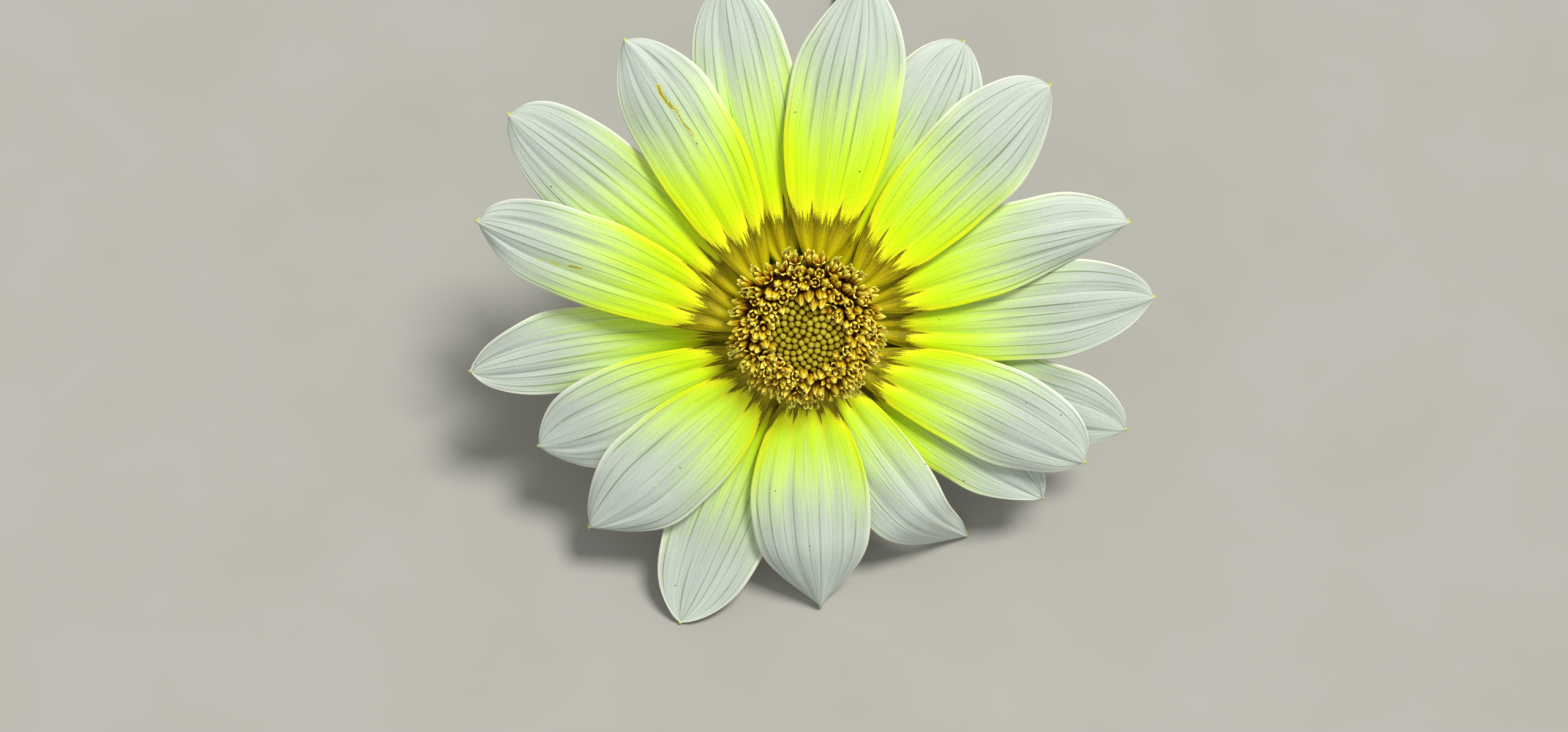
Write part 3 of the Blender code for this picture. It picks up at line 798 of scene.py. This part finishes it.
def model_corolla(name, lobe_steps):
    """Model an open floret: a flaring tube whose rim runs out into five pointed lobes."""
    rim_radius, rim_level = TUBE[-1]
    corolla = start_ring(name, *TUBE[0], 20)
    extrude_rings(TUBE)
    for lobe in range(5):
        middle = 2 * math.pi * (lobe + 0.5) / 5

        def in_lobe(edge):
            centre = (edge.verts[0].co + edge.verts[1].co) / 2
            turn = (math.atan2(centre.y, centre.x) - middle + math.pi) % (2 * math.pi) - math.pi
            at_rim = min(v.co.z for v in edge.verts) > (rim_level - 0.01) * MM
            return at_rim and abs(turn) < math.pi / 5 and len(edge.link_faces) == 1

        select_edges(corolla, in_lobe)
        centre = polar(rim_radius * 0.9, middle, rim_level)
        for out, up, narrow in lobe_steps:
            step = polar(out, middle, up)
            centre = centre + step
            bpy.ops.mesh.extrude_region_move(TRANSFORM_OT_translate={"value": step * MM})
            bpy.ops.transform.resize(value=(narrow, narrow, 1), center_override=centre * MM)
        bpy.ops.mesh.merge(type="CENTER")
    bpy.ops.mesh.select_all(action="SELECT")
    bpy.ops.mesh.remove_doubles(threshold=0.00001)
    bpy.ops.mesh.normals_make_consistent(inside=False)
    bpy.ops.object.mode_set(mode="OBJECT")
    map_length(corolla, 0.5, 3.3, rim=rim_radius)
    add_thickness(corolla, 0.17)
    return corolla


def model_anther_column():
    """Model the tube of joined anthers, with its five short points."""
    column = turn_profile("anther_column", [(0.22, 1.2), (0.26, 2.0), (0.28, 2.4), (0.20, 2.7),
                                            (0.06, 2.9)], 10)
    for vert in column.data.vertices:
        azimuth = math.atan2(vert.co.y, vert.co.x)
        if vert.co.z > 2.6 * MM:
            vert.co.z += 0.14 * MM * math.cos(5 * azimuth)
    map_length(column, 1.2, 3.1)
    return column


def model_style():
    """Model a style that stands out of its floret and forks in two curled arms."""
    deselect()
    bpy.ops.curve.primitive_bezier_curve_add()
    curve = bpy.context.object.data
    curve.splines.clear()
    routes = [[(0, 0, 2.4), (0.02, 0.05, 3.0), (0.0, 0.12, 3.6)]]
    for side in (-1, 1):
        routes.append([(0.0, 0.12, 3.55), (0.16 * side, 0.16, 3.85), (0.42 * side, 0.22, 3.95),
                       (0.60 * side, 0.2, 3.75), (0.56 * side, 0.14, 3.5)])
    for route in routes:
        spline = curve.splines.new("NURBS")
        spline.points.add(len(route) - 1)
        for target, point in zip(spline.points, route):
            target.co = (*(Vector(point) * MM), 1)
        spline.use_endpoint_u = True
        spline.order_u = 3
        spline.resolution_u = 3
    curve.bevel_depth = 0.12 * MM
    curve.bevel_resolution = 1
    curve.use_fill_caps = True
    bpy.ops.object.convert(target="MESH")
    style = name_piece("style")
    map_length(style, 2.4, 4.0)
    return style


def make_florets(golden, orange, pale):
    """Set out the ring: mostly pointed buds inside, cupped and spread florets towards the rim."""
    pointed, cupped, spread, columns, styles = [], [], [], [], []
    for index in range(FLORET_COUNT):
        place, age = floret_place(index)
        draw = random.random()
        if draw < mix(0.72, 0.22, age):
            pointed.append(place)
            continue
        if draw < mix(0.82, 0.72, age):
            cupped.append(place)
        else:
            spread.append(place)
        columns.append(place)
        if age > 0.62 and index % 3 != 0:
            styles.append(place)
    settle(join_copies(model_pointed_bud(), pointed, "pointed_buds"), golden, "disc_floret")
    cups = join_copies(model_corolla("cupped_corolla", CUPPED_LOBE), cupped, "cupped_corollas")
    settle(cups, golden, "disc_floret", "disc_florets")
    stars = join_copies(model_corolla("spread_corolla", SPREAD_LOBE), spread, "spread_corollas")
    settle(stars, golden, "disc_floret")
    settle(join_copies(model_anther_column(), columns, "anther_columns"), orange, "disc_floret")
    settle(join_copies(model_style(), styles, "styles"), pale, "disc_floret")


# Cup.

CUP_PROFILE = [(2.1, CUP_FOOT), (2.9, -12.6), (4.9, -11.1), (6.8, -8.8), (7.9, -6.6), (8.3, -5.0),
               (8.4, -3.0), (8.4, 0.3), (7.9, 0.9), (4.0, 0.95)]
# A bract's free tip as steps of (how far out, how far up, how much narrower).
BRACT_STEPS = [(1.6, 0.35, 1.14), (1.7, 0.30, 0.92), (1.7, 0.15, 0.76), (1.5, 0.0, 0.6),
               (1.3, -0.1, 0.3)]
BRACT_ROOT_RADIUS = 6.9


def model_bract():
    """Model one bract's free tip: a tapering leaf with a raised keel."""
    deselect()
    bpy.ops.mesh.primitive_grid_add(x_subdivisions=1, y_subdivisions=4, size=3 * MM)
    bract = name_piece("bract")
    bpy.ops.object.mode_set(mode="EDIT")
    mesh = bmesh.from_edit_mesh(bract.data)
    bmesh.ops.delete(mesh, geom=[vert for vert in mesh.verts if vert.co.x < 0], context="VERTS")
    for vert in mesh.verts:
        vert.co.x = BRACT_ROOT_RADIUS * MM
        vert.co.z = -0.35 * abs(vert.co.y)
    bmesh.update_edit_mesh(bract.data)
    bpy.ops.mesh.select_all(action="SELECT")
    centre = Vector((BRACT_ROOT_RADIUS, 0, 0))
    for out, up, narrow in BRACT_STEPS:
        step = Vector((out, 0, up))
        centre = centre + step
        bpy.ops.mesh.extrude_region_move(TRANSFORM_OT_translate={"value": step * MM})
        bpy.ops.transform.resize(value=(1, narrow, narrow), center_override=centre * MM)
    bpy.ops.mesh.merge(type="CENTER")
    bpy.ops.mesh.select_all(action="SELECT")
    bpy.ops.mesh.normals_make_consistent(inside=False)
    bpy.ops.object.mode_set(mode="OBJECT")
    subdivide = bract.modifiers.new("round", "SUBSURF")
    subdivide.levels = 1
    subdivide.render_levels = 1
    add_thickness(bract, 0.42)
    return bract


def make_cup(material):
    """Model the cup of joined bracts with its ribs, and the two rings of free tips."""
    cup = turn_profile("cup", CUP_PROFILE, 12 * BRACT_COUNT)
    for vert in cup.data.vertices:
        azimuth = math.atan2(vert.co.y, vert.co.x)
        level = vert.co.z / MM
        zone = smooth(level, CUP_FOOT, -10.0) * (1 - smooth(level, -3.2, -1.5))
        rib = 1 + 0.022 * math.cos(2 * BRACT_COUNT * azimuth) * zone
        vert.co.x *= rib
        vert.co.y *= rib
    cup.data.transform(BLOOM)
    settle(cup, material, "green_bract", "involucre")
    places = []
    for index in range(2 * BRACT_COUNT):
        azimuth = math.pi * (index + 1) / BRACT_COUNT
        inner = index % 2
        scale = 0.86 if inner else 1.0
        level = -5.6 if inner else -6.6
        places.append(BLOOM @ Matrix.Rotation(azimuth, 4, "Z") @ Matrix.Translation((0, 0, level * MM))
                      @ Matrix.Diagonal((scale, scale, 1, 1)))
    bracts = join_copies(model_bract(), places, "bract_tips")
    settle(bracts, material, "green_bract")


# Stalk.

def stalk_route():
    """Return the stalk's midline: an even bend, then a stretch that lies flat, as in the solids."""
    axis = Vector((0, -math.sin(BLOOM_TILT), math.cos(BLOOM_TILT)))
    start = BLOOM_CENTRE + axis * (CUP_FOOT - 0.3) * MM
    bend_radius = (start.z - STALK_RADIUS * MM) / (1 - math.cos(STALK_BEND))
    points = []
    for step in range(STALK_STEPS + 1):
        slope = STALK_BEND * (1 - step / STALK_STEPS)
        along = bend_radius * (math.sin(STALK_BEND) - math.sin(slope))
        height = STALK_RADIUS * MM + bend_radius * (1 - math.cos(slope))
        points.append(Vector((start.x, start.y + along, height)))
    landing = points[-1]
    for step in range(1, STALK_LYING_STEPS + 1):
        points.append(landing + Vector((0, STALK_LYING * step / STALK_LYING_STEPS, 0)) * MM)
    run = points[-1].y - start.y
    for point in points:
        point.x += STALK_DRIFT * MM * smooth((point.y - start.y) / run, 0.05, 1.25)
    return points


def make_stalk(rind, pith):
    """Model the stalk as a round tube along its route, with a pale cut face.

    It starts 0.6 mm above the route's first point, inside the cup.
    """
    deselect()
    bpy.ops.curve.primitive_bezier_curve_add()
    curve = bpy.context.object.data
    curve.splines.clear()
    route = stalk_route()
    route.insert(0, route[0] - (route[1] - route[0]).normalized() * 0.6 * MM)
    spline = curve.splines.new("POLY")
    spline.points.add(len(route) - 1)
    for target, point in zip(spline.points, route):
        target.co = (*point, 1)
    curve.bevel_depth = STALK_RADIUS * MM
    curve.bevel_resolution = 6
    curve.use_fill_caps = True
    bpy.ops.object.convert(target="MESH")
    stalk = name_piece("stalk")
    bpy.ops.object.mode_set(mode="EDIT")
    bpy.ops.mesh.select_all(action="SELECT")
    bpy.ops.mesh.remove_doubles(threshold=0.00001)
    bpy.ops.mesh.normals_make_consistent(inside=False)
    bpy.ops.object.mode_set(mode="OBJECT")
    stalk.data.materials.append(rind)
    stalk.data.materials.append(pith)
    far_end = max(polygon.center.y for polygon in stalk.data.polygons)
    for polygon in stalk.data.polygons:
        if len(polygon.vertices) > 4 and polygon.center.y > far_end - 0.0001:
            polygon.material_index = 1
    settle(stalk, rind, "green_stalk", "scape")


def make_stalk_hairs(material):
    """Set short soft hairs on the stalk's upper and side faces."""
    deselect()
    bpy.ops.mesh.primitive_cone_add(vertices=3, radius1=0.035 * MM, depth=STALK_HAIR_LENGTH * MM)
    hair = name_piece("hair")
    for vert in hair.data.vertices:
        vert.co.z += STALK_HAIR_LENGTH / 2 * MM
    route = stalk_route()
    places = []
    while len(places) < STALK_HAIRS:
        index = random.randrange(len(route) - 1)
        start, end = route[index], route[index + 1]
        along = (end - start).normalized()
        side = along.cross(Vector((0, 0, 1))).normalized()
        turn = random.uniform(-0.15, 1.15) * math.pi
        out = side * math.cos(turn) + side.cross(along) * math.sin(turn)
        lean = (out + along * random.uniform(-0.3, 0.5)).normalized()
        foot = start.lerp(end, random.random()) + out * (STALK_RADIUS - 0.03) * MM
        places.append(Matrix.Translation(foot) @ lean.to_track_quat("Z", "Y").to_matrix().to_4x4()
                      @ Matrix.Scale(random.uniform(0.5, 1.0), 4))
    settle(join_copies(hair, places, "stalk_hairs"), material, "green_stalk")


# Stage.

def make_floor():
    """Lay the plain pale surface that the flower lies on."""
    deselect()
    bpy.ops.mesh.primitive_plane_add(size=8)
    floor = name_piece("floor")
    material, tree, shader = new_material("matt_pale_board", 0.85, 1.45)
    place = add_node(tree, "ShaderNodeTexCoord").node.outputs["Object"]
    cloud = add_node(tree, "ShaderNodeTexNoise", {"Vector": place, "Scale": 40.0, "Detail": 3.0})
    tone = add_node(tree, "ShaderNodeValToRGB", {0: cloud})
    set_ramp(tone, [(0.3, "#a5a49e"), (0.7, "#aaa9a4")])
    tree.links.new(tone, shader.inputs["Base Color"])
    floor.data.materials.append(material)


KEY_STRENGTH = 2.95
KEY_SPREAD = 16
KEY_DIRECTION = (0.34, 0.20, 0.91)
FILL_STRENGTH = 0.5


def make_lights():
    """Light the flower softly from above and a little from the right, with an even fill all round."""
    lamp = bpy.data.lights.new("key", "SUN")
    lamp.energy = KEY_STRENGTH
    lamp.angle = math.radians(KEY_SPREAD)
    lamp.color = srgb("#fffdf6")[:3]
    key = bpy.data.objects.new("key", lamp)
    bpy.context.collection.objects.link(key)
    key.rotation_mode = "QUATERNION"
    key.rotation_quaternion = Vector(KEY_DIRECTION).to_track_quat("Z", "Y")
    world = bpy.data.worlds.new("studio")
    world.use_nodes = True
    fill = world.node_tree.nodes["Background"].inputs
    fill["Color"].default_value = srgb("#f2f3f0")
    fill["Strength"].default_value = FILL_STRENGTH
    bpy.context.scene.world = world
    bpy.context.scene.view_settings.view_transform = "Standard"


# The camera stands 20 degrees from the bloom's axis, towards the high petals, 250 mm away. One
# millimetre there is 12.5 pixels of the 2560-pixel frame, and the disc is off the frame's centre.
CAMERA_OFF_AXIS = math.radians(20)
CAMERA_DISTANCE = 250 * MM
PIXELS_PER_MM = 12.5
FRAME_PIXELS = (2560, 1195)
DISC_PIXEL = (1316, 545)
DISC_LEVEL = 4.0
SENSOR_WIDTH = 36.0


def make_camera():
    """Place the camera so that the disc falls on its pixel of the frame."""
    lean = BLOOM_TILT - CAMERA_OFF_AXIS
    turn = Matrix.Rotation(lean, 3, "X")
    disc = BLOOM @ (Vector((0, 0, DISC_LEVEL)) * MM)
    right = (DISC_PIXEL[0] - FRAME_PIXELS[0] / 2) / PIXELS_PER_MM * MM
    up = (FRAME_PIXELS[1] / 2 - DISC_PIXEL[1]) / PIXELS_PER_MM * MM
    camera = bpy.data.cameras.new("camera")
    camera.sensor_width = SENSOR_WIDTH
    camera.sensor_fit = "HORIZONTAL"
    camera.lens = SENSOR_WIDTH * CAMERA_DISTANCE / MM / (FRAME_PIXELS[0] / PIXELS_PER_MM)
    camera.clip_start = 0.01
    thing = bpy.data.objects.new("camera", camera)
    bpy.context.collection.objects.link(thing)
    thing.location = disc + turn @ Vector((-right, -up, CAMERA_DISTANCE))
    thing.rotation_euler = (lean, 0, 0)
    bpy.context.scene.camera = thing


def main():
    face = petal_face_material()
    back = petal_back_material()
    for number, petal in enumerate(PETALS, start=1):
        make_petal(number, petal, face, back)
    olive = floret_material("closed_bud_skin", 0.5, BUD_TONES_WITH_PAINTED_LIGHT, 0.4)
    golden = floret_material("corolla_tissue", 0.6, COROLLA_TONES_WITH_PAINTED_LIGHT, 0.6, seams=0.25)
    orange = floret_material("anther_wall", 0.6, ANTHER_TONES, 0.3)
    pale = floret_material("style_tissue", 0.5, STYLE_TONES, 0.4)
    bed = floret_material("receptacle_tissue", 0.8, BED_TONES, 0.5)
    feet = floret_material("petal_foot_tissue", 0.6, FEET_TONES, 0.5)
    rind = rind_material("stalk_rind", "#88944e", "#6c4434", 0.35)
    make_disc_bed(bed)
    make_floret_feet(feet)
    make_closed_buds(olive)
    make_florets(golden, orange, pale)
    make_cup(rind_material("bract_rind", "#7d9a50", "#4f6e34", 0.4))
    make_stalk(rind, rind_material("cut_pith", "#cfd8a0", "#a9b878", 0.5))
    make_stalk_hairs(rind_material("stalk_down", "#c9d2b4", "#b4c09a", 0.3))
    make_floor()
    make_lights()
    make_camera()


main()
